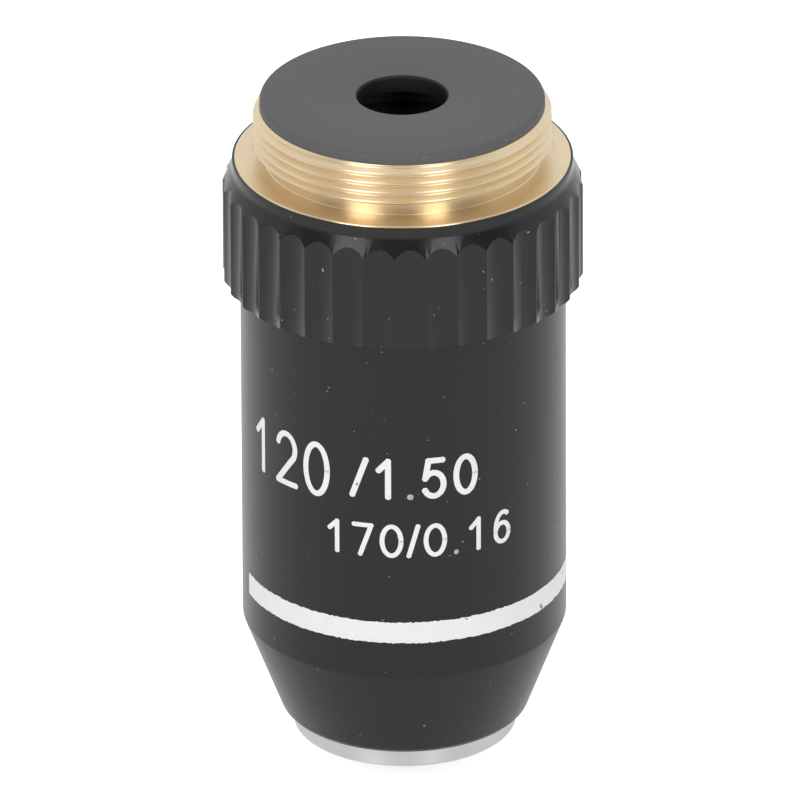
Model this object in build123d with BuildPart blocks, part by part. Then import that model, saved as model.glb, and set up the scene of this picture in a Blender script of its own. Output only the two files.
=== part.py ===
"""Spring-loaded oil immersion microscope objective, thread up and nose down.

Millimetres, +Z towards the thread. The origin is the centre of the shoulder face that seats on the
nosepiece. The camera's side of the object is -Y.
"""
import os
from math import asin, cos, pi, radians, sin, sqrt, tan

from build123d import *

os.makedirs("parts", exist_ok=True)

# Thread and shoulder: 0.8 inch by 36 to the inch objective thread
thread_d = 20.32
rim_h = 3.8
rim_wall = 1.94
lead_in = 0.4
relief_depth = 0.76
relief_h = 0.65
runout_h = 0.45
seat_undercut = 0.05
seat_gap = 0.14
flange_w = 1.29
flange_t = 1.6
flange_edge = 0.08

# Brass tube below the shoulder
tube_h = 16.4
tube_edge = 0.3

# Rear cap
cap_step = 0.06
cap_t = 0.7
cap_edge = 0.3
cap_hole_d = 6.1
cap_hole_edge = 0.12
cap_web_t = 1.2
spigot_wall = 1.0
spigot_h = 3.2

# Fluted grip ring
collar_wall = 0.15
facet_w = 0.67
ring_drop = 0.08
ring_h = 8.79
ring_web_t = 2.9
skirt_wall = 1.17
collar_h = 0.72
facet_h = 1.25
ring_edge = 0.15
flute_count = 36
flute_depth = 0.29
flute_land = 0.12
flute_turn = 2.3

# Outer sleeve
sleeve_wall = 1.1
cone_h = 6.8
lip_wall = 0.77
lip_bevel = 0.25
tube_ledge = 0.55
stop_depth = 1.6

# Sprung inner barrel: parfocal distance less cover glass and working distance
parfocal = 45.0
working_gap = 0.2
nose_show = 3.5
stop_w = 1.8
nose_cone_h = 2.1
nose_face_w = 1.5
guide_collar_h = 5.4
stem_step = 0.65
stem_wall = 1.4
stem_top_gap = 6.0
parfocal_ring_t = 0.55
travel = 2.5

# Front cell and front lens
front_cell_step = 0.6
front_cell_rim_h = 1.5
front_shank_step = 0.8
front_shank_h = 1.6
front_shank_wall = 1.0
front_lens_r = 1.3
front_lens_face_r = 1.05
front_lens_recess = 0.05

# Lens surfaces are set by their slope at the rim, in degrees
meniscus_wall = 2.96
meniscus_edge_t = 1.08
meniscus_front_slope = 26.0
meniscus_rear_slope = 46.0
doublet_front_wall = 1.76
doublet_front_flint_t = 0.9
doublet_front_cement_slope = 38.0
doublet_front_rear_slope = 26.0
doublet_rear_wall = 1.26
doublet_rear_flint_t = 1.0
doublet_rear_cement_slope = 34.0
doublet_rear_rear_slope = 24.0
crown_edge_t = 0.6

# Cells, spacers and retainer
seat_lip_t = 0.4
seat_lip_w = 0.35
cell_margin = 0.3
spacer_wall = 1.2
spacer_front_h = 1.2
spacer_middle_h = 2.4
retainer_h = 1.2
retainer_wall = 1.3
retainer_slot_w = 0.9
retainer_slot_depth = 0.5

# Spring, guide screw and centring screws
spring_wire_d = 0.9
spring_pitch = 2.0
wire_sides = 6
guide_angle = 0.0
guide_screw_d = 2.0
guide_screw_rise = 6.0
guide_screw_sink = 0.1
dog_d = 1.4
dog_length = 1.15
dog_reach = 0.75
driver_slot_w = 0.4
driver_slot_depth = 0.5
keyway_end_gap = 0.35
centring_screw_d = 1.6
centring_screw_count = 3
centring_screw_sink = 0.1

# Clearances on the radius or face to face
screwed_fit = 0.02
running_fit = 0.05
nose_fit = 0.08
stop_fit = 0.05
lens_fit = 0.02
loose_fit = 0.3

# Radii, outward from the thread to the grip ring and then inward to the lenses
thread_r = thread_d / 2
relief_r = thread_r - relief_depth
flange_r = thread_r + flange_w
collar_r = flange_r + collar_wall
ring_r = collar_r + facet_w
sleeve_r = ring_r - skirt_wall
tube_r = sleeve_r - sleeve_wall
sleeve_bore_r = tube_r - tube_ledge
nose_r = sleeve_bore_r - stop_w
stem_r = nose_r - stem_step
train_bore_r = stem_r - stem_wall
cell_r = train_bore_r - lens_fit
front_cell_r = train_bore_r - front_cell_step
front_shank_r = front_cell_r - front_shank_step
nose_face_r = front_cell_r - nose_face_w
spigot_bore_r = thread_r - rim_wall
spigot_r = spigot_bore_r - screwed_fit
meniscus_r = cell_r - meniscus_wall - lens_fit
doublet_front_r = cell_r - doublet_front_wall - lens_fit
doublet_rear_r = cell_r - doublet_rear_wall - lens_fit


def sag(slope, semi_d):
    """Depth of a spherical surface between its middle and its rim, from its slope at the rim."""
    return semi_d * tan(radians(slope) / 2)


# Heights of the seats, from the shoulder at zero
tube_top_z = -flange_t
tube_end_z = tube_top_z - tube_h
ring_top_z = -ring_drop
ring_end_z = ring_top_z - ring_h
sleeve_top_z = tube_top_z - ring_web_t
nose_end_z = -(parfocal - working_gap)
cone_end_z = nose_end_z + nose_show + lip_bevel
cone_top_z = cone_end_z + cone_h
stop_z = cone_top_z - stop_depth
guide_collar_end_z = stop_z + parfocal_ring_t + stop_fit
guide_collar_top_z = guide_collar_end_z + guide_collar_h
nose_cone_z = nose_end_z + nose_cone_h
nose_slope = (nose_r - nose_face_r) / nose_cone_h
front_cell_rim_z = nose_end_z + (front_cell_r - nose_face_r) / nose_slope
front_cell_seat_z = front_cell_rim_z + front_cell_rim_h
train_seat_z = front_cell_seat_z + front_shank_h

# Middles and rims of the lens surfaces, each glass standing on the lip of its cell
meniscus_rim_z = train_seat_z + seat_lip_t
meniscus_front_z = meniscus_rim_z + sag(meniscus_front_slope, meniscus_r)
meniscus_rear_z = meniscus_rim_z + meniscus_edge_t + sag(meniscus_rear_slope, meniscus_r)
doublet_front_cell_z = meniscus_rear_z + cell_margin + spacer_front_h
flint_front_z = doublet_front_cell_z + seat_lip_t
cement_front_z = flint_front_z + doublet_front_flint_t
crown_front_rim_z = cement_front_z + sag(doublet_front_cement_slope, doublet_front_r) + crown_edge_t
crown_front_z = crown_front_rim_z + sag(doublet_front_rear_slope, doublet_front_r)
doublet_rear_cell_z = crown_front_z + cell_margin + spacer_middle_h
flint_rear_z = doublet_rear_cell_z + seat_lip_t
cement_rear_z = flint_rear_z + doublet_rear_flint_t
crown_rear_rim_z = cement_rear_z + sag(doublet_rear_cement_slope, doublet_rear_r) + crown_edge_t
crown_rear_z = crown_rear_rim_z + sag(doublet_rear_rear_slope, doublet_rear_r)
retainer_z = crown_rear_z + cell_margin


def surface(middle_z, slope, semi_d):
    """Half of a lens surface: a positive slope bends its rim up, a negative one down, zero is flat."""
    if slope == 0:
        return Line((0, middle_z), (semi_d, middle_z))
    return JernArc((0, middle_z), (1, 0), semi_d / sin(radians(abs(slope))), slope)


def lens_cell(bottom_z, top_z, bore_r):
    """Cup with a plain bore that stands on a narrow seat lip."""
    lip_r = bore_r - seat_lip_w
    with BuildPart() as cell:
        with BuildSketch(Plane.XZ):
            with BuildLine():
                Polyline(
                    (lip_r, bottom_z),
                    (cell_r, bottom_z),
                    (cell_r, top_z),
                    (bore_r, top_z),
                    (bore_r, bottom_z + seat_lip_t),
                    (lip_r, bottom_z + seat_lip_t),
                    close=True,
                )
            make_face()
        revolve(axis=Axis.Z)
    return cell


def plain_ring(bottom_z, height, outer_r, inner_r):
    """Ring cut from tube."""
    with BuildPart() as ring:
        with BuildSketch(Plane.XY.offset(bottom_z)):
            Circle(outer_r)
            Circle(inner_r, mode=Mode.SUBTRACT)
        extrude(amount=height)
    return ring


def lens(semi_d, front_z, front_slope, rear_z, rear_slope):
    """Lens with ground edges, from the middles and the slopes of its two surfaces."""
    with BuildPart() as glass:
        with BuildSketch(Plane.XZ):
            with BuildLine():
                front = surface(front_z, front_slope, semi_d)
                rear = surface(rear_z, rear_slope, semi_d)
                Line(front @ 0, rear @ 0)
                Line(front @ 1, rear @ 1)
            make_face()
        revolve(axis=Axis.Z)
    return glass


def side_plane(angle, distance):
    """Plane that faces outward, at an angle about the axis and a distance from it."""
    outward = (cos(radians(angle)), sin(radians(angle)), 0)
    along = (-sin(radians(angle)), cos(radians(angle)), 0)
    return Plane(origin=(distance * outward[0], distance * outward[1], 0), x_dir=along, z_dir=outward)


# Brass body: objective thread, shoulder flange and the tube that carries everything else
spigot_seat_z = rim_h - spigot_h - loose_fit
guide_bore_r = stem_r + running_fit
guide_screw_z = tube_end_z + guide_screw_rise
with BuildPart() as mount_body:
    with BuildSketch(Plane.XZ):
        with BuildLine():
            Polyline(
                (guide_bore_r, tube_end_z),
                (tube_r - tube_edge, tube_end_z),
                (tube_r, tube_end_z + tube_edge),
                (tube_r, tube_top_z),
                (flange_r, tube_top_z),
                (flange_r, -flange_edge),
                (flange_r - flange_edge, 0),
                (thread_r + seat_gap, 0),
                (thread_r + seat_gap, -seat_undercut),
                (relief_r, -seat_undercut),
                (relief_r, relief_h),
                (thread_r, relief_h + runout_h),
                (thread_r, rim_h - lead_in),
                (thread_r - lead_in, rim_h),
                (spigot_bore_r, rim_h),
                (spigot_bore_r, spigot_seat_z),
                (guide_bore_r, spigot_seat_z),
                close=True,
            )
        make_face()
    revolve(axis=Axis.Z)
    with BuildSketch(side_plane(guide_angle, guide_bore_r - loose_fit)):
        with Locations((0, guide_screw_z)):
            Circle(guide_screw_d / 2 + screwed_fit)
    extrude(amount=tube_r, mode=Mode.SUBTRACT)
mount_body.part.label = "mount_body"
export_step(mount_body.part, "parts/mount_body.step")

# Rear cap: a black stop with the light's hole, screwed into the rim of the thread
with BuildPart() as rear_cap:
    with BuildSketch(Plane.XY.offset(rim_h)):
        Circle(thread_r - lead_in - cap_step)
    extrude(amount=cap_t)
    chamfer(rear_cap.edges().sort_by(Axis.Z)[-1], cap_edge)
    with BuildSketch(Plane.XY.offset(rim_h)):
        Circle(spigot_r)
    extrude(amount=-spigot_h)
    with BuildSketch(Plane.XY.offset(rim_h + cap_t - cap_web_t)):
        Circle(spigot_r - spigot_wall)
    extrude(amount=-spigot_h, mode=Mode.SUBTRACT)
    Hole(cap_hole_d / 2)
    hole_edges = rear_cap.edges().filter_by(GeomType.CIRCLE).filter_by(
        lambda edge: abs(edge.radius - cap_hole_d / 2) < cap_hole_edge
    )
    chamfer(hole_edges.sort_by(Axis.Z)[-1], cap_hole_edge)
rear_cap.part.label = "rear_cap"
export_step(rear_cap.part, "parts/rear_cap.step")

# Grip ring: a faceted collar round the flange, then a skirt of concave flutes that meet in ridges
half_flute = pi / flute_count - asin(flute_land / 2 / ring_r)
valley_r = ring_r - flute_depth
flute_r = (ring_r**2 + valley_r**2 - 2 * ring_r * valley_r * cos(half_flute)) / (
    2 * (ring_r * cos(half_flute) - valley_r)
)
flange_pocket_r = flange_r + screwed_fit
tube_pocket_r = tube_r + screwed_fit
skirt_bore_r = sleeve_r + screwed_fit
with BuildPart() as grip_ring:
    with BuildSketch(Plane.XZ):
        with BuildLine():
            Polyline(
                (skirt_bore_r, ring_end_z),
                (ring_r - ring_edge, ring_end_z),
                (ring_r, ring_end_z + ring_edge),
                (ring_r, ring_top_z - collar_h - facet_h),
                (collar_r, ring_top_z - collar_h),
                (collar_r, ring_top_z),
                (flange_pocket_r, ring_top_z),
                (flange_pocket_r, tube_top_z),
                (tube_pocket_r, tube_top_z),
                (tube_pocket_r, sleeve_top_z),
                (skirt_bore_r, sleeve_top_z),
                close=True,
            )
        make_face()
    revolve(axis=Axis.Z)
    with BuildSketch(Plane.XY.offset(ring_end_z)):
        with PolarLocations(valley_r + flute_r, flute_count, start_angle=flute_turn):
            Circle(flute_r)
    extrude(amount=ring_h, mode=Mode.SUBTRACT)
grip_ring.part.label = "grip_ring"
export_step(grip_ring.part, "parts/grip_ring.step")

# Outer sleeve: the plain black barrel and its cone, with the stop shoulder for the nose inside
nose_bore_r = nose_r + nose_fit
cone_end_r = nose_bore_r + lip_wall
with BuildPart() as sleeve:
    with BuildSketch(Plane.XZ):
        with BuildLine():
            Polyline(
                (tube_pocket_r, sleeve_top_z),
                (sleeve_r, sleeve_top_z),
                (sleeve_r, cone_top_z),
                (cone_end_r, cone_end_z),
                (cone_end_r - lip_bevel, cone_end_z - lip_bevel),
                (nose_bore_r, cone_end_z - lip_bevel),
                (nose_bore_r, stop_z),
                (sleeve_bore_r, stop_z),
                (sleeve_bore_r, tube_end_z),
                (tube_pocket_r, tube_end_z),
                close=True,
            )
        make_face()
    revolve(axis=Axis.Z)
sleeve.part.label = "sleeve"
export_step(sleeve.part, "parts/sleeve.step")

# Parfocal ring: a shim on the stop shoulder that sets how far the nose comes out
parfocal_ring = plain_ring(stop_z, parfocal_ring_t, sleeve_bore_r - screwed_fit, nose_r + loose_fit)
parfocal_ring.part.label = "parfocal_ring"
export_step(parfocal_ring.part, "parts/parfocal_ring.step")

# Guide screw: its dog rides in the keyway of the stem, so that the nose slides without turning
screw_outer_r = tube_r - guide_screw_sink
dog_tip_r = stem_r - dog_reach
with BuildPart() as guide_screw:
    with BuildSketch(side_plane(guide_angle, dog_tip_r)):
        with Locations((0, guide_screw_z)):
            Circle(dog_d / 2)
    extrude(amount=dog_length)
    with BuildSketch(side_plane(guide_angle, dog_tip_r + dog_length)):
        with Locations((0, guide_screw_z)):
            Circle(guide_screw_d / 2)
    extrude(amount=screw_outer_r - dog_tip_r - dog_length)
    with BuildSketch(side_plane(guide_angle, screw_outer_r)):
        with Locations((0, guide_screw_z)):
            Rectangle(driver_slot_w, guide_screw_d + loose_fit)
    extrude(amount=-driver_slot_depth, mode=Mode.SUBTRACT)
guide_screw.part.label = "guide_screw"
export_step(guide_screw.part, "parts/guide_screw.step")

# Inner barrel: the plated nose, its guide collar and the long stem that slides in the brass tube
guide_collar_r = sleeve_bore_r - running_fit
front_pocket_r = front_cell_r + screwed_fit
shank_pocket_r = front_shank_r + screwed_fit
front_pocket_z = nose_end_z + (front_pocket_r - nose_face_r) / nose_slope
stem_top_z = -stem_top_gap
centring_screw_z = (doublet_rear_cell_z + retainer_z) / 2
keyway_end_z = guide_screw_z - dog_d / 2 - travel - keyway_end_gap
keyway_floor_r = dog_tip_r - 2 * running_fit
centring_angles = [guide_angle + turn * 360 / centring_screw_count for turn in range(centring_screw_count)]
with BuildPart() as inner_barrel:
    with BuildSketch(Plane.XZ):
        with BuildLine():
            Polyline(
                (front_pocket_r, front_pocket_z),
                (nose_r, nose_cone_z),
                (nose_r, guide_collar_end_z),
                (guide_collar_r, guide_collar_end_z),
                (guide_collar_r, guide_collar_top_z),
                (stem_r, guide_collar_top_z),
                (stem_r, stem_top_z),
                (train_bore_r, stem_top_z),
                (train_bore_r, train_seat_z),
                (shank_pocket_r, train_seat_z),
                (shank_pocket_r, front_cell_seat_z),
                (front_pocket_r, front_cell_seat_z),
                close=True,
            )
        make_face()
    revolve(axis=Axis.Z)
    with BuildSketch(side_plane(guide_angle, keyway_floor_r)):
        with Locations((0, keyway_end_z)):
            Rectangle(dog_d + 2 * running_fit, stem_top_z - keyway_end_z, align=(Align.CENTER, Align.MIN))
    extrude(amount=stem_r, mode=Mode.SUBTRACT)
    for angle in centring_angles:
        with BuildSketch(side_plane(angle, train_bore_r - loose_fit)):
            with Locations((0, centring_screw_z)):
                Circle(centring_screw_d / 2 + screwed_fit)
        extrude(amount=stem_r, mode=Mode.SUBTRACT)
inner_barrel.part.label = "inner_barrel"
export_step(inner_barrel.part, "parts/inner_barrel.step")

# Centring screws: three grub screws in the stem that shift the rear doublet's cell
screw_foot_r = cell_r + lens_fit
with BuildPart() as centring_screws:
    for angle in centring_angles:
        with BuildSketch(side_plane(angle, screw_foot_r)):
            with Locations((0, centring_screw_z)):
                Circle(centring_screw_d / 2)
        extrude(amount=stem_r - centring_screw_sink - screw_foot_r)
        with BuildSketch(side_plane(angle, stem_r)):
            with Locations((0, centring_screw_z)):
                Rectangle(driver_slot_w, centring_screw_d + loose_fit)
        extrude(amount=-driver_slot_depth, mode=Mode.SUBTRACT)
centring_screws.part.label = "centring_screws"
export_step(centring_screws.part, "parts/centring_screws.step")

# Retraction spring: round wire, drawn with flats, between the brass tube and the guide collar
wire_r = spring_wire_d / 2
spring_foot_z = guide_collar_top_z + wire_r
with BuildPart() as retraction_spring:
    with BuildLine():
        coil = Helix(
            pitch=spring_pitch,
            height=tube_end_z - wire_r - spring_foot_z,
            radius=(stem_r + sleeve_bore_r) / 2,
            center=(0, 0, spring_foot_z),
        )
    with BuildSketch(Plane(origin=coil @ 0, x_dir=(1, 0, 0), z_dir=coil % 0)):
        RegularPolygon(wire_r, wire_sides)
    sweep(path=coil, is_frenet=True)
retraction_spring.part.label = "retraction_spring"
export_step(retraction_spring.part, "parts/retraction_spring.step")

# Front cell: the plated point of the nose, which holds the front lens in a ball seat
lens_middle_z = nose_end_z + front_lens_recess + sqrt(front_lens_r**2 - front_lens_face_r**2)
ball_seat_r = front_lens_r + lens_fit
mouth_angle = asin((lens_middle_z - nose_end_z) / ball_seat_r)
mouth_r = ball_seat_r * cos(mouth_angle)
seat_middle = (ball_seat_r * cos(mouth_angle / 2), lens_middle_z - ball_seat_r * sin(mouth_angle / 2))
with BuildPart() as front_cell:
    with BuildSketch(Plane.XZ):
        with BuildLine():
            ThreePointArc((mouth_r, nose_end_z), seat_middle, (ball_seat_r, lens_middle_z))
            Polyline(
                (ball_seat_r, lens_middle_z),
                (ball_seat_r, lens_middle_z + front_lens_r),
                (front_shank_r - front_shank_wall, train_seat_z),
                (front_shank_r, train_seat_z),
                (front_shank_r, front_cell_seat_z),
                (front_cell_r, front_cell_seat_z),
                (front_cell_r, front_cell_rim_z),
                (nose_face_r, nose_end_z),
                (mouth_r, nose_end_z),
            )
        make_face()
    revolve(axis=Axis.Z)
front_cell.part.label = "front_cell"
export_step(front_cell.part, "parts/front_cell.step")

# Front lens: more than half a ball, with its flat to the specimen
with BuildPart() as front_lens:
    with BuildSketch(Plane.XZ):
        with BuildLine():
            ThreePointArc(
                (front_lens_face_r, nose_end_z + front_lens_recess),
                (front_lens_r, lens_middle_z),
                (0, lens_middle_z + front_lens_r),
            )
            Polyline(
                (0, lens_middle_z + front_lens_r),
                (0, nose_end_z + front_lens_recess),
                (front_lens_face_r, nose_end_z + front_lens_recess),
            )
        make_face()
    revolve(axis=Axis.Z)
front_lens.part.label = "front_lens"
export_step(front_lens.part, "parts/front_lens.step")

# Meniscus: bends the steep light from the front lens, hollow side down
meniscus_lens = lens(
    meniscus_r,
    meniscus_front_z,
    -meniscus_front_slope,
    meniscus_rear_z,
    -meniscus_rear_slope,
)
meniscus_lens.part.label = "meniscus_lens"
export_step(meniscus_lens.part, "parts/meniscus_lens.step")
meniscus_cell_top_z = meniscus_rear_z + cell_margin
meniscus_cell = lens_cell(train_seat_z, meniscus_cell_top_z, meniscus_r + lens_fit)
meniscus_cell.part.label = "meniscus_cell"
export_step(meniscus_cell.part, "parts/meniscus_cell.step")

# Front doublet: a flint with a flat foot and a crown cemented into its hollow
flint_front = lens(doublet_front_r, flint_front_z, 0, cement_front_z, doublet_front_cement_slope)
flint_front.part.label = "flint_front"
export_step(flint_front.part, "parts/flint_front.step")
crown_front = lens(
    doublet_front_r,
    cement_front_z,
    doublet_front_cement_slope,
    crown_front_z,
    -doublet_front_rear_slope,
)
crown_front.part.label = "crown_front"
export_step(crown_front.part, "parts/crown_front.step")
doublet_front_cell_top_z = crown_front_z + cell_margin
doublet_cell_front = lens_cell(doublet_front_cell_z, doublet_front_cell_top_z, doublet_front_r + lens_fit)
doublet_cell_front.part.label = "doublet_cell_front"
export_step(doublet_cell_front.part, "parts/doublet_cell_front.step")

# Rear doublet: the same pair, larger and with flatter curves
flint_rear = lens(doublet_rear_r, flint_rear_z, 0, cement_rear_z, doublet_rear_cement_slope)
flint_rear.part.label = "flint_rear"
export_step(flint_rear.part, "parts/flint_rear.step")
crown_rear = lens(
    doublet_rear_r,
    cement_rear_z,
    doublet_rear_cement_slope,
    crown_rear_z,
    -doublet_rear_rear_slope,
)
crown_rear.part.label = "crown_rear"
export_step(crown_rear.part, "parts/crown_rear.step")
doublet_cell_rear = lens_cell(doublet_rear_cell_z, retainer_z, doublet_rear_r + lens_fit)
doublet_cell_rear.part.label = "doublet_cell_rear"
export_step(doublet_cell_rear.part, "parts/doublet_cell_rear.step")

# Spacers: they set the air between the cells
spacer_front = plain_ring(meniscus_cell_top_z, spacer_front_h, cell_r, cell_r - spacer_wall)
spacer_front.part.label = "spacer_front"
export_step(spacer_front.part, "parts/spacer_front.step")
spacer_middle = plain_ring(doublet_front_cell_top_z, spacer_middle_h, cell_r, cell_r - spacer_wall)
spacer_middle.part.label = "spacer_middle"
export_step(spacer_middle.part, "parts/spacer_middle.step")

# Lens retainer: a slotted ring nut that clamps the stack of cells from behind
with BuildPart() as lens_retainer:
    with BuildSketch(Plane.XY.offset(retainer_z)):
        Circle(cell_r)
        Circle(cell_r - retainer_wall, mode=Mode.SUBTRACT)
    extrude(amount=retainer_h)
    with BuildSketch(Plane.XY.offset(retainer_z + retainer_h)):
        Rectangle(2 * train_bore_r, retainer_slot_w)
    extrude(amount=-retainer_slot_depth, mode=Mode.SUBTRACT)
lens_retainer.part.label = "lens_retainer"
export_step(lens_retainer.part, "parts/lens_retainer.step")
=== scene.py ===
"""Microscope objective, thread up and nose down: a smooth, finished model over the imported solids.

Metres, in the frame of the solids: +Z towards the thread, the shoulder face at zero, the camera's side
at -Y. Outlines are written in millimetres, as (radius, height), and scaled where they are drawn.
"""

import random
from math import asin, cos, hypot, pi, radians, sin, sqrt

import bmesh
import bpy
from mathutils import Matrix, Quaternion, Vector


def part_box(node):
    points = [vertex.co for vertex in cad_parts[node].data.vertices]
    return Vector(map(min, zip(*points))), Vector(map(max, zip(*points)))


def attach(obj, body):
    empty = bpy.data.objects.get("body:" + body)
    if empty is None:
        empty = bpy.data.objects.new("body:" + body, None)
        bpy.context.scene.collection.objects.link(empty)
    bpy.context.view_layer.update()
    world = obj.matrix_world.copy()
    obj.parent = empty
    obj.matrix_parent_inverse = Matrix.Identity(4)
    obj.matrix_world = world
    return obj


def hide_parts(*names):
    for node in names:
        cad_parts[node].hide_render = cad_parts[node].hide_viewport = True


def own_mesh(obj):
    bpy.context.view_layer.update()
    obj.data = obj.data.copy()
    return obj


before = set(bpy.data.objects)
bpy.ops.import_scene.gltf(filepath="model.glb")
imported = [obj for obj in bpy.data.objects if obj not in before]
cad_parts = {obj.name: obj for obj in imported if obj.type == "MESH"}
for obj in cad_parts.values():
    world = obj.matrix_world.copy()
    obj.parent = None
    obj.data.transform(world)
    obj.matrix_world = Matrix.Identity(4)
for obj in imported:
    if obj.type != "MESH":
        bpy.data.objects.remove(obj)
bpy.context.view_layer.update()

# Brass body: one turning with the objective thread, its undercut, the shoulder flange and the hidden
# tube that carries everything else. The thread is cut into the turned blank: 55 degree form, 36 to the
# inch, right hand, with its crests and roots rounded.
mm = 0.001
weld = 0.0005 * mm


def pick(piece):
    """Make a piece the only one that the next operators work on."""
    bpy.ops.object.select_all(action="DESELECT")
    bpy.context.view_layer.objects.active = piece
    piece.select_set(True)


def drawn(outline):
    """Draw a closed outline of (radius, height) points in millimetres, and stay in edit mode."""
    bpy.ops.object.select_all(action="DESELECT")
    bpy.ops.mesh.primitive_plane_add(size=mm)
    bpy.ops.object.mode_set(mode="EDIT")
    bpy.ops.mesh.select_mode(type="VERT")
    bpy.ops.mesh.merge(type="CENTER")
    bpy.ops.transform.translate(value=Vector((outline[0][0], 0, outline[0][1])) * mm)
    for (r_here, z_here), (r_next, z_next) in zip(outline, outline[1:] + outline[:1]):
        step = Vector((r_next - r_here, 0, z_next - z_here)) * mm
        bpy.ops.mesh.extrude_region_move(TRANSFORM_OT_translate={"value": step})
    bpy.ops.mesh.select_all(action="SELECT")
    return bpy.context.object


def turned(name, outline, steps=240):
    """Turn a closed outline about Z."""
    piece = drawn(outline)
    piece.name = name
    piece.data.name = name
    bpy.ops.mesh.spin(steps=steps, angle=2 * pi, center=(0, 0, 0), axis=(0, 0, 1))
    bpy.ops.mesh.select_all(action="SELECT")
    bpy.ops.mesh.remove_doubles(threshold=weld)
    bpy.ops.mesh.normals_make_consistent(inside=False)
    bpy.ops.object.mode_set(mode="OBJECT")
    return piece


def wind(piece, turn, rise, repeats, steps):
    """Wind a section up round Z, by a turn in radians and a rise in millimetres, and close its ends."""
    bpy.ops.object.modifier_add(type="SCREW")
    screw = piece.modifiers[-1]
    screw.axis = "Z"
    screw.angle = turn
    screw.screw_offset = rise * mm
    screw.iterations = repeats
    screw.steps = steps
    screw.render_steps = steps
    bpy.ops.object.modifier_apply(modifier=screw.name)
    bpy.ops.object.mode_set(mode="EDIT")
    bpy.ops.mesh.select_all(action="SELECT")
    bpy.ops.mesh.remove_doubles(threshold=weld)
    bpy.ops.mesh.select_all(action="SELECT")
    bpy.ops.mesh.fill_holes(sides=0)
    bpy.ops.mesh.select_all(action="SELECT")
    bpy.ops.mesh.normals_make_consistent(inside=False)
    bpy.ops.object.mode_set(mode="OBJECT")


def cut(piece, cutter):
    """Cut one piece away from another, and throw the cutter away."""
    pick(piece)
    bpy.ops.object.modifier_add(type="BOOLEAN")
    boolean = piece.modifiers[-1]
    boolean.operation = "DIFFERENCE"
    boolean.solver = "EXACT"
    boolean.object = cutter
    bpy.ops.object.modifier_apply(modifier=boolean.name)
    bpy.data.objects.remove(cutter)


def smooth(piece, angle=24):
    """Shade a piece smooth, apart from the edges that turn by more than an angle in degrees."""
    pick(piece)
    bpy.ops.object.shade_smooth_by_angle(angle=radians(angle))


drill_over = 0.3


def drill(piece, radius, inner_r, outer_r, angle, height):
    """Drill a hole out from the axis, at an angle in degrees and a height in millimetres."""
    bpy.ops.object.select_all(action="DESELECT")
    middle = (inner_r + outer_r) / 2 * mm
    bpy.ops.mesh.primitive_cylinder_add(
        vertices=48,
        radius=radius * mm,
        depth=(outer_r - inner_r + 2 * drill_over) * mm,
        location=(middle * cos(radians(angle)), middle * sin(radians(angle)), height * mm),
        rotation=(0, pi / 2, radians(angle)),
    )
    cut(piece, bpy.context.object)


crest_r = 10.16
rim_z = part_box("mount_body")[1][2] / mm
lead_in = 0.4
undercut_r = 9.4
undercut_h = 0.65
runout_h = 0.45
seat_r = 10.3
seat_undercut = 0.05
flange_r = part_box("mount_body")[1][0] / mm
flange_z = -1.6
flange_edge = 0.08
tube_r = 10.0
tube_end_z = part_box("mount_body")[0][2] / mm
tube_edge = 0.3
guide_bore_r = 7.05
spigot_bore_r = 8.22
spigot_depth = 3.5
spigot_seat_z = rim_z - spigot_depth
body = turned("brass_body", [
    (guide_bore_r, tube_end_z),
    (tube_r - tube_edge, tube_end_z),
    (tube_r, tube_end_z + tube_edge),
    (tube_r, flange_z),
    (flange_r, flange_z),
    (flange_r, -flange_edge),
    (flange_r - flange_edge / 3, -flange_edge / 3),
    (flange_r - flange_edge, 0),
    (seat_r, 0),
    (seat_r, -seat_undercut),
    (undercut_r + seat_undercut, -seat_undercut),
    (undercut_r, 0),
    (undercut_r, undercut_h),
    (crest_r, undercut_h + runout_h),
    (crest_r, rim_z - lead_in),
    (crest_r - lead_in, rim_z),
    (spigot_bore_r, rim_z),
    (spigot_bore_r, spigot_seat_z),
    (guide_bore_r, spigot_seat_z),
])

pitch = 0.7056
thread_depth = 0.452
thread_round = 0.097
flank = radians(27.5)
crest_flat = 0.04
thread_clear = 0.25
front_crest_z = 3.29
turns = 6
turns_below_crest = 4


def groove_side(side):
    """Half of the thread's groove, from the crest's flat down to the middle of the root."""
    crest_start = asin(crest_flat / 2 / thread_round)
    points = [(crest_r + thread_clear, side * (pitch - crest_flat) / 2)]
    for part in range(4):
        turn = crest_start + (pi / 2 - flank - crest_start) * part / 3
        points.append((
            crest_r - thread_round * (1 - cos(turn)),
            side * (pitch / 2 - thread_round * sin(turn)),
        ))
    for part in range(3):
        turn = (pi / 2 - flank) * (1 - part / 3)
        points.append((
            crest_r - thread_depth + thread_round * (1 - cos(turn)),
            side * thread_round * sin(turn),
        ))
    return points


# The groove runs half a pitch below the crest that faces the front, and starts a quarter turn further on.
groove_z = front_crest_z - pitch / 2 + pitch / 4 - turns_below_crest * pitch
profile = groove_side(-1) + [(crest_r - thread_depth, 0)] + groove_side(1)[::-1]
thread_tool = drawn([(r, z + groove_z) for r, z in profile])
bpy.ops.mesh.remove_doubles(threshold=weld)
bpy.ops.object.mode_set(mode="OBJECT")
wind(thread_tool, 2 * pi, pitch, turns, 160)
cut(body, thread_tool)

guide_screw_z = -12.0
guide_hole_r = 1.02
drill(body, guide_hole_r, guide_bore_r, tube_r, 0, guide_screw_z)
smooth(body)


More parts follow.
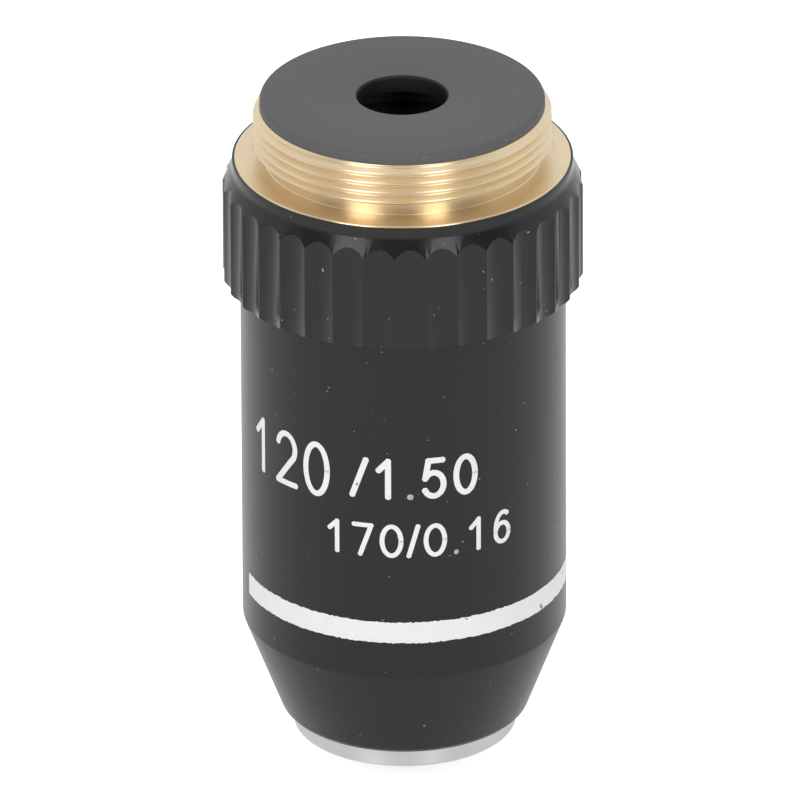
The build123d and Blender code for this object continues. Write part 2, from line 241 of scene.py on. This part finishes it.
class Link:
    """A socket in a finish, on which Python's operators add Math nodes."""

    def __init__(self, finish, socket):
        self.finish = finish
        self.socket = socket

    def math(self, operation, first, second):
        return self.finish.node("ShaderNodeMath", {"operation": operation}, {0: first, 1: second})

    def __add__(self, other):
        return self.math("ADD", self, other)

    def __radd__(self, other):
        return self.math("ADD", other, self)

    def __sub__(self, other):
        return self.math("SUBTRACT", self, other)

    def __rsub__(self, other):
        return self.math("SUBTRACT", other, self)

    def __mul__(self, other):
        return self.math("MULTIPLY", self, other)

    def __rmul__(self, other):
        return self.math("MULTIPLY", other, self)

    def __gt__(self, other):
        return self.math("GREATER_THAN", self, other)

    def __lt__(self, other):
        return self.math("LESS_THAN", self, other)


class Finish:
    """The nodes of one material, or of the sky."""

    def __init__(self, name, owner=None):
        self.owner = owner or bpy.data.materials.new(name)
        self.owner.use_nodes = True
        self.tree = self.owner.node_tree
        self.shader = self.tree.nodes.get("Principled BSDF")

    def node(self, kind, settings=None, inputs=None, output=0):
        """Add a node with its settings first, then the values or links of its sockets."""
        node = self.tree.nodes.new(kind)
        for key, value in (settings or {}).items():
            setattr(node, key, value)
        for key, value in (inputs or {}).items():
            self.set(node.inputs[key], value)
        return Link(self, node.outputs[output])

    def set(self, socket, value):
        """Give a socket a number, a colour or a link."""
        if isinstance(value, Link):
            self.tree.links.new(value.socket, socket)
        else:
            socket.default_value = value

    def surface(self, **values):
        """Set the shader's sockets, named in lower case with underscores."""
        for key, value in values.items():
            self.set(self.shader.inputs[key.replace("_", " ").title().replace("Ior", "IOR")], value)

    def place(self):
        """Object coordinates, which are metres in the frame of the solids."""
        return self.node("ShaderNodeTexCoord", output=3)

    def radius(self):
        """Distance from the axis, in metres."""
        flat = self.node("ShaderNodeMapping", {}, {"Vector": self.place(), "Scale": (1, 1, 0)})
        return self.node("ShaderNodeVectorMath", {"operation": "LENGTH"}, {0: flat}, output=1)

    def noise(self, scale, detail):
        """Noise of so many grains to the metre."""
        values = {"Vector": self.place(), "Scale": scale, "Detail": detail}
        return self.node("ShaderNodeTexNoise", {}, values)

    def turning_marks(self, scale):
        """Noise that runs round the axis, as a lathe tool leaves it, of so many grains to the metre."""
        height = self.node("ShaderNodeSeparateXYZ", {}, {0: self.place()}, output=2)
        across = self.node("ShaderNodeCombineXYZ", {}, {0: self.radius(), 1: height})
        values = {"Vector": across, "Scale": scale, "Detail": 3.0}
        return self.node("ShaderNodeTexNoise", {"noise_dimensions": "2D"}, values)

    def blend(self, mask, first, second):
        """Colour that goes from the first to the second as the mask goes from 0 to 1."""
        values = {0: mask, 6: first, 7: second}
        return self.node("ShaderNodeMix", {"data_type": "RGBA"}, values, output=2)

    def bump(self, height, distance, strength):
        """Normal from a height of 0 to 1 that stands for a distance in metres."""
        values = {"Height": height, "Distance": distance, "Strength": strength}
        return self.node("ShaderNodeBump", {}, values)


bore_margin = 0.1
brass = Finish("turned brass")
tool_marks = brass.turning_marks(9000.0)
handling = brass.noise(420.0, 4.0)
outside = brass.radius() > (spigot_bore_r + bore_margin) * mm
bright = brass.blend(handling, (0.84, 0.70, 0.48, 1), (0.76, 0.62, 0.42, 1))
brass.surface(
    base_color=brass.blend(outside, (0.012, 0.011, 0.010, 1), bright),
    metallic=outside,
    roughness=0.60 - outside * (0.37 - 0.10 * tool_marks - 0.05 * handling),
    anisotropic=0.85,
    anisotropic_rotation=0.25,
    normal=brass.bump(tool_marks, 0.000004, 0.3),
)
body.data.materials.append(brass.owner)
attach(body, "housing")
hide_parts("mount_body")

# Rear cap: a turned aluminium disc, matt black, with the light's hole. Its spigot screws into the rim of
# the thread, so only the disc shows.
edge_slack = 0.003


def round_ring(piece, radius, height, width, segments):
    """Round one turned edge, found by its radius and height in millimetres."""
    pick(piece)
    bpy.ops.object.mode_set(mode="EDIT")
    bpy.ops.mesh.select_mode(type="EDGE")
    bpy.ops.mesh.select_all(action="DESELECT")
    mesh = bmesh.from_edit_mesh(piece.data)
    for edge in mesh.edges:
        edge.select_set(all(
            abs(hypot(vertex.co.x, vertex.co.y) / mm - radius) < edge_slack
            and abs(vertex.co.z / mm - height) < edge_slack
            for vertex in edge.verts
        ))
    bmesh.update_edit_mesh(piece.data)
    bpy.ops.mesh.bevel(offset=width * mm, segments=segments, affect="EDGES")
    bpy.ops.object.mode_set(mode="OBJECT")


cap_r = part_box("rear_cap")[1][0] / mm
cap_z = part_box("rear_cap")[1][2] / mm
cap_edge = 0.36
cap_hole_r = 3.05
cap_hole_edge = 0.22
cap_web_z = 3.3
spigot_r = 8.2
spigot_inner_r = 7.2
spigot_end_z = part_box("rear_cap")[0][2] / mm
cap = turned("cap", [
    (cap_hole_r, cap_web_z),
    (cap_hole_r, cap_z),
    (cap_r, cap_z),
    (cap_r, rim_z),
    (spigot_r, rim_z),
    (spigot_r, spigot_end_z),
    (spigot_inner_r, spigot_end_z),
    (spigot_inner_r, cap_web_z),
])
round_ring(cap, cap_r, cap_z, cap_edge, 6)
round_ring(cap, cap_hole_r, cap_z, cap_hole_edge, 3)
smooth(cap, 40)
painted_hole_shade_w = 0.12
matt_black = Finish("matt black anodising")
grain = matt_black.noise(5200.0, 3.0)
dust = matt_black.noise(3800.0, 0.0) > 0.86
# Painted shade: the wall of the light's hole and the inner edge of its rounding are coloured near black,
# standing for the shade inside the hole rather than a colour of the anodising.
painted_hole_shade = matt_black.radius() < (cap_hole_r + painted_hole_shade_w) * mm
face = matt_black.blend(dust, (0.088, 0.088, 0.089, 1), (0.22, 0.22, 0.22, 1))
matt_black.surface(
    base_color=matt_black.blend(painted_hole_shade, face, (0.006, 0.006, 0.006, 1)),
    roughness=0.50 + 0.12 * grain,
    ior=1.40,
    normal=matt_black.bump(grain, 0.000012, 0.35),
)
cap.data.materials.append(matt_black.owner)
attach(cap, "housing")
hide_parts("rear_cap")

# Guide screw: a steel dog point screw in the side of the brass tube, hidden by the sleeve. Its dog keeps
# the nose from turning.
steel = Finish("bright steel")
steel_grain = steel.noise(6000.0, 3.0)
steel.surface(
    base_color=steel.blend(steel_grain, (0.60, 0.61, 0.63, 1), (0.50, 0.51, 0.53, 1)),
    metallic=1.0,
    roughness=0.24 + 0.16 * steel_grain,
)


def finish_node(node, finish):
    """Give a solid that stays as it is its finish."""
    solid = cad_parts[node]
    solid.data.materials.clear()
    solid.data.materials.append(finish.owner)


finish_node("guide_screw", steel)

# Grip ring: black anodised aluminium round the flange. A vertical collar, a polished cone, and below it
# 36 concave flutes, milled upward so that each one runs out in an arch on the cone.
ring_r = 12.27
ring_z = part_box("grip_ring")[1][2] / mm
ring_end_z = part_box("grip_ring")[0][2] / mm
collar_r = 11.6
collar_h = 0.72
collar_foot_z = ring_z - collar_h
collar_foot_round = 0.22
facet_h = 1.25
ring_edge = 0.15
sleeve_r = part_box("sleeve")[1][0] / mm
sleeve_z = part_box("sleeve")[1][2] / mm
screwed_fit = 0.02
ring = turned("fluted_ring", [
    (sleeve_r + screwed_fit, ring_end_z),
    (ring_r - ring_edge, ring_end_z),
    (ring_r, ring_end_z + ring_edge),
    (ring_r, collar_foot_z - facet_h),
    (collar_r, collar_foot_z),
    (collar_r, ring_z),
    (flange_r + screwed_fit, ring_z),
    (flange_r + screwed_fit, flange_z),
    (tube_r + screwed_fit, flange_z),
    (tube_r + screwed_fit, sleeve_z),
    (sleeve_r + screwed_fit, sleeve_z),
], steps=288)
round_ring(ring, collar_r, collar_foot_z, collar_foot_round, 4)
flute_count = 36
flute_depth = 0.29
flute_land = 0.12
flute_turn = 2.3
flute_tool_h = 20
ridge_round = 0.055
half_flute = pi / flute_count - asin(flute_land / 2 / ring_r)
valley_r = ring_r - flute_depth
flute_r = (ring_r**2 + valley_r**2 - 2 * ring_r * valley_r * cos(half_flute)) / (
    2 * (ring_r * cos(half_flute) - valley_r)
)
bpy.ops.object.select_all(action="DESELECT")
bpy.ops.mesh.primitive_cylinder_add(
    vertices=120,
    radius=flute_r * mm,
    depth=flute_tool_h * mm,
    location=((valley_r + flute_r) * mm, 0, ring_end_z * mm),
)
flutes = bpy.context.object
bpy.ops.object.transform_apply(location=True)
bpy.ops.object.mode_set(mode="EDIT")
bpy.ops.mesh.select_all(action="SELECT")
bpy.ops.mesh.spin(
    steps=flute_count - 1,
    dupli=True,
    angle=2 * pi * (flute_count - 1) / flute_count,
    center=(0, 0, 0),
    axis=(0, 0, 1),
)
bpy.ops.object.mode_set(mode="OBJECT")
cut(ring, flutes)
bpy.ops.object.modifier_add(type="BEVEL")
bevel = ring.modifiers[-1]
bevel.limit_method = "ANGLE"
bevel.angle_limit = radians(20)
bevel.width = ridge_round * mm
bevel.segments = 2
bpy.ops.object.modifier_apply(modifier=bevel.name)
ring.rotation_euler.z = radians(flute_turn)
bpy.ops.object.transform_apply(rotation=True)
smooth(ring, 40)
satin_black = Finish("satin black anodising")
satin_grain = satin_black.noise(3800.0, 3.0)
satin_dust = satin_black.noise(3600.0, 0.0) > 0.86
satin_black.surface(
    base_color=satin_black.blend(satin_dust, (0.007, 0.007, 0.0074, 1), (0.22, 0.22, 0.22, 1)),
    roughness=0.14 + 0.10 * satin_grain,
    ior=1.42,
    normal=satin_black.bump(satin_grain, 0.000006, 0.3),
)
ring.data.materials.append(satin_black.owner)
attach(ring, "housing")
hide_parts("grip_ring")

# Sleeve: the plain outer barrel and its cone, turned from aluminium and anodised black. It screws on the
# brass tube, under the grip ring's skirt.
sleeve_end_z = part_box("sleeve")[0][2] / mm
lip_bevel = 0.25
lip_r = 7.73
cone_end_r = 8.5
cone_end_z = sleeve_end_z + lip_bevel
cone_h = 6.8
cone_z = cone_end_z + cone_h
cone_round = 0.12
cone_end_round = 0.10
stop_depth = 1.6
stop_z = cone_z - stop_depth
sleeve_bore_r = 9.45
sleeve = turned("barrel", [
    (tube_r + screwed_fit, sleeve_z),
    (sleeve_r, sleeve_z),
    (sleeve_r, cone_z),
    (cone_end_r, cone_end_z),
    (cone_end_r - lip_bevel, sleeve_end_z),
    (lip_r, sleeve_end_z),
    (lip_r, stop_z),
    (sleeve_bore_r, stop_z),
    (sleeve_bore_r, tube_end_z),
    (tube_r + screwed_fit, tube_end_z),
], steps=320)
round_ring(sleeve, sleeve_r, cone_z, cone_round, 2)
round_ring(sleeve, cone_end_r, cone_end_z, cone_end_round, 3)
smooth(sleeve)
barrel_black = Finish("barrel black anodising")
barrel_grain = barrel_black.noise(3000.0, 4.0)
clouds = barrel_black.noise(160.0, 3.0)
barrel_dust = barrel_black.noise(3400.0, 0.0) > 0.86
barrel_black.surface(
    base_color=barrel_black.blend(barrel_dust, (0.006, 0.006, 0.0064, 1), (0.16, 0.16, 0.16, 1)),
    roughness=0.20 + 0.08 * barrel_grain + 0.05 * clouds,
    ior=1.42,
    normal=barrel_black.bump(barrel_grain, 0.000006, 0.25),
)
sleeve.data.materials.append(barrel_black.owner)
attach(sleeve, "housing")
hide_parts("sleeve")

# Colour band: the laser takes the black off in a ring above the cone, which starts at one clean edge on
# the left and goes round the right. Its two long edges show the steps of the laser's lines.
mark_lift = 0.012


def wrap(piece, radius):
    """Lay a flat piece, drawn as x along and z up, on a cylinder, with x measured from the front."""
    for vertex in piece.data.vertices:
        turn = vertex.co.x / (radius * mm)
        reach = radius * mm - vertex.co.y
        vertex.co = (reach * sin(turn), -reach * cos(turn), vertex.co.z)


band_top_z = -30.0
band_end_z = -31.57
band_middle_z = (band_top_z + band_end_z) / 2
band_start = radians(-73.0) * sleeve_r
band_length = radians(300.0) * sleeve_r
band_columns = 1500
bpy.ops.object.select_all(action="DESELECT")
bpy.ops.mesh.primitive_grid_add(
    x_subdivisions=band_columns,
    y_subdivisions=1,
    size=mm,
    location=((band_start + band_length / 2) * mm, 0, band_middle_z * mm),
    rotation=(pi / 2, 0, 0),
)
band = bpy.context.object
band.name = "pale_band"
band.scale = (band_length, band_top_z - band_end_z, 1)
bpy.ops.object.transform_apply(location=True, rotation=True, scale=True)
laser = random.Random(7)
step_size = 0.035
step_width = 0.19
steps = {}
for vertex in band.data.vertices:
    line = round(vertex.co.x / mm / step_width), vertex.co.z > band_middle_z * mm
    if line not in steps:
        steps[line] = laser.uniform(-step_size, step_size) * mm
    vertex.co.z += steps[line]
wrap(band, sleeve_r)
bpy.ops.object.modifier_add(type="SOLIDIFY")
skin = band.modifiers[-1]
skin.thickness = 2 * mark_lift * mm
skin.offset = 0
bpy.ops.object.modifier_apply(modifier=skin.name)
smooth(band, 40)
laser_white = Finish("laser marked white")
specks = laser_white.noise(900.0, 2.0) > 0.72
mottle = laser_white.noise(1400.0, 4.0)
pale = laser_white.blend(mottle, (0.75, 0.75, 0.75, 1), (0.82, 0.82, 0.82, 1))
laser_white.surface(
    base_color=laser_white.blend(specks, pale, (0.30, 0.30, 0.30, 1)),
    roughness=0.55 + 0.15 * mottle,
    normal=laser_white.bump(mottle, 0.000008, 0.3),
)
band.data.materials.append(laser_white.owner)
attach(band, "housing")

# Numerals: two rows of plain figures, marked by the same laser in single round-ended strokes. They are
# drawn flat and then laid on the sleeve.


def bow(middle_x, middle_z, half_w, half_h, start, end, count=16):
    """Points on an oval from one angle to another, in degrees from the right, in a cell of 1 by 1."""
    angles = [radians(start + (end - start) * part / count) for part in range(count + 1)]
    return [(middle_x + half_w * cos(a), middle_z + half_h * sin(a)) for a in angles]


figures = {
    "0": [bow(0.5, 0.5, 0.5, 0.5, 0, 360, 32)],
    "1": [[(0.12, 0.74), (0.58, 1.0), (0.58, 0.0)]],
    "2": [bow(0.5, 0.71, 0.48, 0.29, 165, -32) + [(0.0, 0.0), (1.0, 0.0)]],
    "5": [[(0.92, 1.0), (0.22, 1.0), (0.06, 0.50)] + bow(0.48, 0.33, 0.50, 0.33, 128, -150)],
    "6": [bow(0.5, 0.32, 0.46, 0.32, 0, 360, 32), bow(0.58, 0.46, 0.54, 0.54, 62, 190)],
    "7": [[(0.0, 1.0), (1.0, 1.0), (0.36, 0.0)]],
    "/": [[(0.0, 0.0), (1.0, 1.0)]],
    ".": [[(0.5, 0.0), (0.5, 0.0)]],
}
run_length = 0.12
closing_gap = 0.01
ball_columns = 20


def line_tube(places, stroke):
    """Round line through points in millimetres, joined up where it ends at its start."""
    line = bpy.data.curves.new("stroke", "CURVE")
    line.dimensions = "3D"
    line.bevel_depth = stroke / 2 * mm
    line.bevel_resolution = 3
    closed = hypot(places[0][0] - places[-1][0], places[0][1] - places[-1][1]) < closing_gap
    drawn_places = places[:-1] if closed else places
    spline = line.splines.new("POLY")
    spline.points.add(len(drawn_places) - 1)
    spline.use_cyclic_u = closed
    for point, (x, z) in zip(spline.points, drawn_places):
        point.co = (x * mm, 0, z * mm, 1)
    tube = bpy.data.objects.new("stroke", line)
    bpy.context.collection.objects.link(tube)
    pick(tube)
    bpy.ops.object.convert(target="MESH")
    return bpy.context.object


def line_ball(x, z, stroke):
    """Ball that rounds the end or the corner of a line."""
    bpy.ops.object.select_all(action="DESELECT")
    bpy.ops.mesh.primitive_uv_sphere_add(
        segments=ball_columns,
        ring_count=ball_columns // 2,
        radius=stroke / 2 * mm,
        location=(x * mm, 0, z * mm),
    )
    bpy.ops.object.transform_apply(location=True)
    return bpy.context.object


def figure(sign, turn, middle_z, width, height, stroke):
    """Draw one figure in strokes, at an angle from the front in degrees, in runs short enough to wrap."""
    parts = []
    for points in figures[sign]:
        ends = [
            (radians(turn) * sleeve_r + (x - 0.5) * width, middle_z + (z - 0.5) * height)
            for x, z in points
        ]
        places = ends[:1]
        for (x_here, z_here), (x_next, z_next) in zip(ends, ends[1:]):
            count = 1 + int(hypot(x_next - x_here, z_next - z_here) / run_length)
            places += [
                (x_here + (x_next - x_here) * part / count, z_here + (z_next - z_here) * part / count)
                for part in range(1, count + 1)
            ]
        if len(set(places)) > 1:
            parts.append(line_tube(places, stroke))
        # Straight runs get a ball at each corner, and a curve only where it ends or turns sharply.
        corners = ends if len(ends) < 5 else [ends[0], ends[-1]]
        corners += [ends[-2]] if sign == "2" else []
        corners += ends[1:3] if sign == "5" else []
        parts += [line_ball(x, z, stroke) for x, z in corners]
    return parts


row_1_z, row_2_z = -19.15, -23.83
big_w, small_w = 1.72, 1.38
stroke_w, thin_stroke_w = 0.44, 0.35
rows = (
    (row_1_z, 3.70, stroke_w, (("1", -60.2, big_w), ("2", -46.1, big_w), ("0", -32.5, big_w))),
    (row_1_z, 2.68, stroke_w, (
        ("/", -16.0, 0.95), ("1", -6.2, small_w), (".", 2.2, 0.3), ("5", 10.6, small_w),
        ("0", 22.2, small_w),
    )),
    (row_2_z, 2.20, thin_stroke_w, (
        ("1", -24.8, 1.2), ("7", -14.8, 1.2), ("0", -4.5, 1.3), ("/", 3.2, 0.62),
        ("0", 11.0, 1.3), (".", 18.6, 0.3), ("1", 26.6, 1.2), ("6", 36.9, 1.2),
    )),
)
strokes = []
for middle_z, height, stroke, signs in rows:
    for sign, turn, width in signs:
        strokes += figure(sign, turn, middle_z, width, height, stroke)
bpy.ops.object.select_all(action="DESELECT")
for part in strokes:
    part.select_set(True)
bpy.context.view_layer.objects.active = strokes[0]
bpy.ops.object.join()
numerals = bpy.context.object
numerals.name = "numerals"
for vertex in numerals.data.vertices:
    vertex.co.y *= 2 * mark_lift / stroke_w
wrap(numerals, sleeve_r)
smooth(numerals, 60)
numerals.data.materials.clear()
numerals.data.materials.append(laser_white.owner)
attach(numerals, "housing")

# Parfocal ring: a brass shim on the sleeve's stop shoulder, lapped to length when the objective is set,
# so that the slide stays sharp when the turret is turned.
finish_node("parfocal_ring", brass)

# Nose: the inner barrel, turned from brass and plated. Its guide collar and long stem are hidden. The
# stem has a keyway for the guide screw's dog and three holes for the centring screws.
nose_r = 7.65
nose_end_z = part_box("front_cell")[0][2] / mm
nose_cone_h = 2.1
nose_cone_z = nose_end_z + nose_cone_h
nose_cone_round = 0.12
nose_face_r = 3.5
nose_slope = (nose_r - nose_face_r) / (nose_cone_z - nose_end_z)
front_pocket_r = 5.02
front_pocket_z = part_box("inner_barrel")[0][2] / mm
stop_gap = 0.05
guide_collar_r = 9.4
guide_collar_h = 5.4
guide_collar_end_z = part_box("parfocal_ring")[1][2] / mm + stop_gap
guide_collar_z = guide_collar_end_z + guide_collar_h
stem_r = 7.0
stem_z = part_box("inner_barrel")[1][2] / mm
train_bore_r = 5.6
train_seat_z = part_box("front_cell")[1][2] / mm
shank_pocket_r = 4.22
shank_h = 1.6
front_seat_z = train_seat_z - shank_h
nose = turned("nose", [
    (front_pocket_r, front_pocket_z),
    (nose_r, nose_cone_z),
    (nose_r, guide_collar_end_z),
    (guide_collar_r, guide_collar_end_z),
    (guide_collar_r, guide_collar_z),
    (stem_r, guide_collar_z),
    (stem_r, stem_z),
    (train_bore_r, stem_z),
    (train_bore_r, train_seat_z),
    (shank_pocket_r, train_seat_z),
    (shank_pocket_r, front_seat_z),
    (front_pocket_r, front_seat_z),
])
round_ring(nose, nose_r, nose_cone_z, nose_cone_round, 3)
keyway_w = 1.5
keyway_floor_r = 6.15
keyway_end_z = -15.55
keyway_tool_t = 2
keyway_tool_over = 1
keyway_tool_z = stem_z + keyway_tool_over
bpy.ops.object.select_all(action="DESELECT")
bpy.ops.mesh.primitive_cube_add(size=mm, location=(
    (keyway_floor_r + keyway_tool_t / 2) * mm, 0, (keyway_end_z + keyway_tool_z) / 2 * mm,
))
keyway = bpy.context.object
keyway.scale = (keyway_tool_t, keyway_w, keyway_tool_z - keyway_end_z)
bpy.ops.object.transform_apply(scale=True)
cut(nose, keyway)
centring_hole_r = 0.82
centring_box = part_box("centring_screws")
centring_z = (centring_box[0][2] + centring_box[1][2]) / 2 / mm
for angle in (0, 120, 240):
    drill(nose, centring_hole_r, train_bore_r, stem_r, angle, centring_z)
smooth(nose)
plated = Finish("satin nickel plate")
plate_marks = plated.turning_marks(8000.0)
plate_cloud = plated.noise(500.0, 3.0)
plated.surface(
    base_color=plated.blend(plate_cloud, (0.71, 0.71, 0.72, 1), (0.64, 0.64, 0.66, 1)),
    metallic=1.0,
    roughness=0.30 + 0.10 * plate_marks,
    anisotropic=0.9,
    anisotropic_rotation=0.25,
    normal=plated.bump(plate_marks, 0.000003, 0.4),
)
nose.data.materials.append(plated.owner)
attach(nose, "nose")
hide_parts("inner_barrel")

# Retraction spring: hard-drawn round wire, wound open, between the end of the brass tube and the nose's
# guide collar.
wire_r = 0.45
spring_r = 8.225
spring_turns = 5.55
spring_foot_z = guide_collar_z + wire_r
spring_rise = tube_end_z - wire_r - spring_foot_z
bpy.ops.object.select_all(action="DESELECT")
bpy.ops.mesh.primitive_circle_add(
    vertices=16,
    radius=wire_r * mm,
    location=(spring_r * mm, 0, spring_foot_z * mm),
    rotation=(pi / 2, 0, 0),
)
spring = bpy.context.object
spring.name = "spring"
bpy.ops.object.transform_apply(location=True, rotation=True)
wind(spring, 2 * pi * spring_turns, spring_rise, 1, 400)
smooth(spring, 40)
wire = Finish("spring wire")
drawn_lines = wire.noise(3000.0, 3.0)
wire.surface(
    base_color=wire.blend(drawn_lines, (0.46, 0.46, 0.48, 1), (0.38, 0.38, 0.40, 1)),
    metallic=1.0,
    roughness=0.30 + 0.12 * drawn_lines,
)
spring.data.materials.append(wire.owner)
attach(spring, "housing")
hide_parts("retraction_spring")
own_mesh(spring)

# Front cell: the plated point of the nose. The front lens sits in its ball seat, which is burnished
# round the glass.
lens_r = 1.3
lens_face_r = 1.05
lens_recess = 0.05
lens_fit = 0.02
lens_z = nose_end_z + lens_recess + sqrt(lens_r**2 - lens_face_r**2)
seat_ball_r = lens_r + lens_fit
mouth_angle = asin((lens_z - nose_end_z) / seat_ball_r)
light_cone_r = 3.2
shank_r = 4.2
front_cell_r = 5.0
front_cell_rim_z = nose_end_z + (front_cell_r - nose_face_r) / nose_slope
front_cell_round = 0.08
seat_parts = 6
seat_angles = [mouth_angle * part / seat_parts for part in range(seat_parts, -1, -1)]
front_cell = turned("nose_point", [
    *[(seat_ball_r * cos(angle), lens_z - seat_ball_r * sin(angle)) for angle in seat_angles],
    (seat_ball_r, lens_z + lens_r),
    (light_cone_r, train_seat_z),
    (shank_r, train_seat_z),
    (shank_r, front_seat_z),
    (front_cell_r, front_seat_z),
    (front_cell_r, front_cell_rim_z),
    (nose_face_r, nose_end_z),
])
round_ring(front_cell, nose_face_r, nose_end_z, front_cell_round, 2)
smooth(front_cell)
front_cell.data.materials.append(plated.owner)
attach(front_cell, "nose")
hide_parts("front_cell")

# Front lens: more than half a ball of crown glass, ground flat towards the slide. The flat stands a
# little behind the face of the cell, out of the way of knocks.
lens_parts = 24
lens_face_angle = asin(lens_face_r / lens_r)
lens_angles = [lens_face_angle + (pi - lens_face_angle) * part / lens_parts for part in range(lens_parts)]
front_lens = turned("front_lens_glass", [
    (0, nose_end_z + lens_recess),
    *[(lens_r * sin(angle), lens_z - lens_r * cos(angle)) for angle in lens_angles],
    (0, lens_z + lens_r),
], steps=96)
smooth(front_lens)
crown = Finish("crown glass")
crown_haze = crown.noise(800.0, 2.0)
crown.surface(
    base_color=(0.95, 0.98, 0.98, 1),
    roughness=0.02 + 0.02 * crown_haze,
    ior=1.52,
    transmission_weight=1.0,
)
front_lens.data.materials.append(crown.owner)
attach(front_lens, "nose")
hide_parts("front_lens")

# Lens train: a meniscus and two cemented doublets, crown on flint, each in its own blackened brass cell.
# Spacers keep the cells apart, and a slotted ring nut clamps the stack from behind.
blackened = Finish("blackened brass")
soot = blackened.noise(2600.0, 3.0)
blackened.surface(
    base_color=blackened.blend(soot, (0.020, 0.018, 0.016, 1), (0.034, 0.030, 0.025, 1)),
    roughness=0.55 + 0.15 * soot,
    normal=blackened.bump(soot, 0.000008, 0.3),
)
flint = Finish("flint glass")
flint_haze = flint.noise(800.0, 2.0)
flint.surface(
    base_color=(0.97, 0.97, 0.93, 1),
    roughness=0.02 + 0.02 * flint_haze,
    ior=1.62,
    transmission_weight=1.0,
)
for node in ("meniscus_cell", "doublet_cell_front", "doublet_cell_rear"):
    finish_node(node, blackened)
for node in ("spacer_front", "spacer_middle", "lens_retainer"):
    finish_node(node, blackened)
for node in ("meniscus_lens", "crown_front", "crown_rear"):
    finish_node(node, crown)
for node in ("flint_front", "flint_rear"):
    finish_node(node, flint)

# Centring screws: three steel grub screws in the stem, which shift the rear doublet's cell until the
# image is even.
finish_node("centring_screws", steel)

# Studio: a plain white floor, a white surround that is dark high up behind the camera, and two tall
# soft lamps in that dark part.
floor_side = 4
bpy.ops.object.select_all(action="DESELECT")
bpy.ops.mesh.primitive_plane_add(size=floor_side, location=(0, 0, nose_end_z * mm))
floor = bpy.context.object
floor.name = "floor"
bpy.ops.object.transform_apply(location=True)
paper = Finish("white paper")
paper.surface(base_color=(0.86, 0.86, 0.86, 1), roughness=0.9, specular_ior_level=0.0)
by_camera = paper.node("ShaderNodeLightPath", output="Is Camera Ray")
by_gloss = paper.node("ShaderNodeLightPath", output="Is Glossy Ray")
glow = paper.node("ShaderNodeEmission", {}, {
    "Color": (1, 1, 1, 1),
    "Strength": 0.60 * by_camera + 0.18 * by_gloss,
})
both = paper.node("ShaderNodeAddShader", {}, {0: Link(paper, paper.shader.outputs[0]), 1: glow})
paper.set(paper.tree.nodes["Material Output"].inputs["Surface"], both)
floor.data.materials.append(paper.owner)

sky = Finish("studio", bpy.data.worlds.new("studio"))
bpy.context.scene.world = sky.owner
way = sky.node("ShaderNodeTexCoord")
front = -1.0 * sky.node("ShaderNodeSeparateXYZ", {}, {0: way}, output=1)
up = sky.node("ShaderNodeSeparateXYZ", {}, {0: way}, output=2)


def ramp(value, low, high):
    """0 below low, 1 above high, and smooth between."""
    return sky.node(
        "ShaderNodeMapRange",
        {"interpolation_type": "SMOOTHSTEP"},
        {"Value": value, "From Min": low, "From Max": high},
    )


dark = ramp(front, 0.10, 0.40) * ramp(up, 0.10, 0.22) * (1 - ramp(up, 0.80, 0.97))
level = 0.92 - 0.66 * dark
clear = sky.node("ShaderNodeMath", {"operation": "MAXIMUM"}, {
    0: sky.node("ShaderNodeLightPath", output="Is Camera Ray"),
    1: sky.node("ShaderNodeLightPath", output="Is Transmission Ray"),
})
background = sky.tree.nodes["Background"]
sky.set(background.inputs["Strength"], level + (1 - level) * clear)
sky.set(background.inputs["Color"], (1, 1, 1, 1))

lamp_far = 0.6
lamp_elevation = 34
lamp_height = 0.60
lamp_level = 3.4


def soft_lamp(name, azimuth, width):
    """Tall soft box, at an azimuth in degrees from the front, as wide as that in metres."""
    lamp = bpy.data.lights.new(name, "AREA")
    lamp.shape = "RECTANGLE"
    lamp.size = width
    lamp.size_y = lamp_height
    lamp.energy = pi * width * lamp_height * lamp_level
    holder = bpy.data.objects.new(name, lamp)
    bpy.context.collection.objects.link(holder)
    across = lamp_far * cos(radians(lamp_elevation))
    holder.location = (
        across * sin(radians(azimuth)),
        -across * cos(radians(azimuth)),
        lamp_far * sin(radians(lamp_elevation)),
    )
    holder.rotation_euler = (-holder.location).to_track_quat("-Z", "Y").to_euler()


soft_lamp("left softbox", -33.5, 0.222)
soft_lamp("right softbox", 27.5, 0.180)

# Camera: a long lens, one and a half metres away, which looks down on the front by 26 degrees and is
# rolled by a quarter of a degree.
camera_up = radians(25.98)
camera_roll = radians(-0.27)
camera_far = 1.5
aim = Vector((-0.248, 0, -18.546)) * mm
camera = bpy.data.objects.new("camera", bpy.data.cameras.new("camera"))
bpy.context.collection.objects.link(camera)
camera.data.lens = 988.2
camera.data.sensor_width = 36
camera.data.clip_start = 0.01
camera.data.clip_end = 20
camera.location = aim + camera_far * Vector((0, -cos(camera_up), sin(camera_up)))
turn = Quaternion((1, 0, 0), pi / 2 - camera_up) @ Quaternion((0, 0, 1), camera_roll)
camera.rotation_euler = turn.to_euler()
bpy.context.scene.camera = camera
bpy.context.scene.view_settings.view_transform = "Standard"
